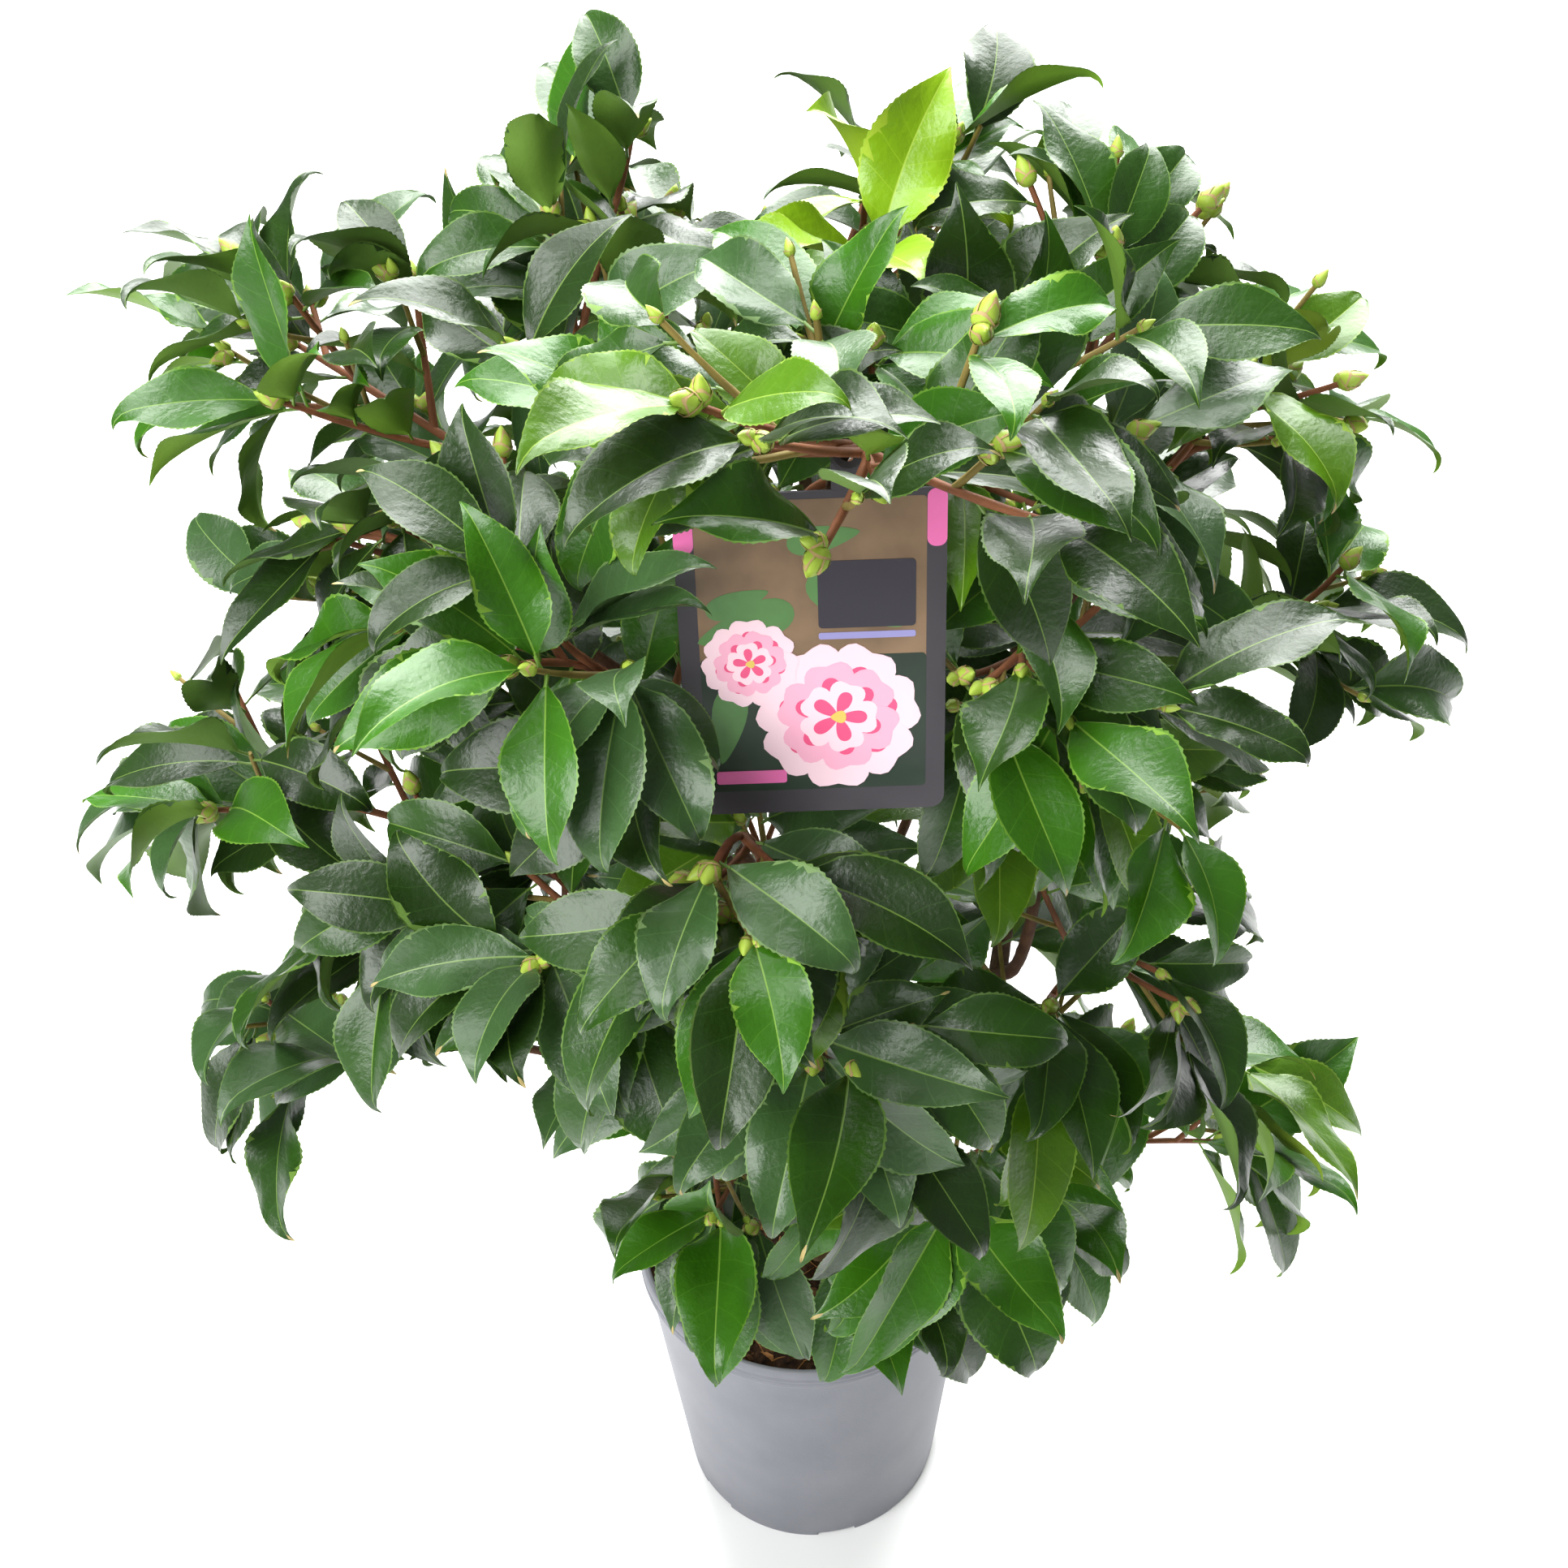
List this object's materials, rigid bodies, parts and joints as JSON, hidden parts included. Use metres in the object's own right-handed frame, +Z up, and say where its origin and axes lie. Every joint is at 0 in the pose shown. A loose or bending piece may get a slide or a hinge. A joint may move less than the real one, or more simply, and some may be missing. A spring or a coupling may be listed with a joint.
{
  "type": "potted camellia shrub",
  "caption": "Bushy evergreen camellia shrub with glossy pointed leaves, growing in a round tapered nursery pot with a hanging picture card.",
  "frame": {"origin": "centre of the pot's flat underside, on the ground", "axes": "+Z up along the pot's axis, -Y towards the front of the plant, where the picture card hangs, +X to the right seen from the front"},
  "size_m": [0.6398, 0.5533, 0.8577],
  "materials": {
    "pot_plastic": "matte",
    "potting_soil": "matte",
    "bark": "matte",
    "foliage": "satin",
    "label_card": "gloss"
  },
  "bodies": {
    "root": {"bough_front": "bark", "bough_front_left": "bark", "bough_front_right": "bark", "bough_high_back": "bark", "bough_high_front": "bark", "bough_high_left": "bark", "bough_high_right": "bark", "bough_low_back": "bark", "bough_low_front_left": "bark", "bough_low_front_right": "bark", "bough_low_left": "bark", "bough_low_right": "bark", "bough_mid_back_left": "bark", "bough_mid_back_right": "bark", "bough_mid_front": "bark", "bough_mid_front_left": "bark", "bough_mid_front_right": "bark", "bough_mid_left": "bark", "bough_mid_left_far": "bark", "bough_mid_left_low": "bark", "bough_mid_right": "bark", "bough_mid_right_low": "bark", "bough_top_back_left": "bark", "bough_upper_left": "bark", "leaves_front": "foliage", "leaves_front_left": "foliage", "leaves_front_right": "foliage", "leaves_high_back": "foliage", "leaves_high_front": "foliage", "leaves_high_front_right": "foliage", "leaves_high_left": "foliage", "leaves_high_right": "foliage", "leaves_low_back": "foliage", "leaves_low_front_left": "foliage", "leaves_low_front_right": "foliage", "leaves_low_left": "foliage", "leaves_low_right": "foliage", "leaves_mid_back_left": "foliage", "leaves_mid_back_right": "foliage", "leaves_mid_front": "foliage", "leaves_mid_front_left": "foliage", "leaves_mid_front_right": "foliage", "leaves_mid_left": "foliage", "leaves_mid_left_far": "foliage", "leaves_mid_left_low": "foliage", "leaves_mid_right": "foliage", "leaves_mid_right_low": "foliage", "leaves_top_back": "foliage", "leaves_top_back_left": "foliage", "leaves_top_left": "foliage", "leaves_top_right": "foliage", "leaves_upper_left": "foliage", "picture_label": "label_card", "pot": "pot_plastic", "soil": "potting_soil", "stem_back": "bark", "stem_front": "bark", "stem_left": "bark", "stem_right": "bark", "trunk": "bark"}
  },
  "joints": []
}
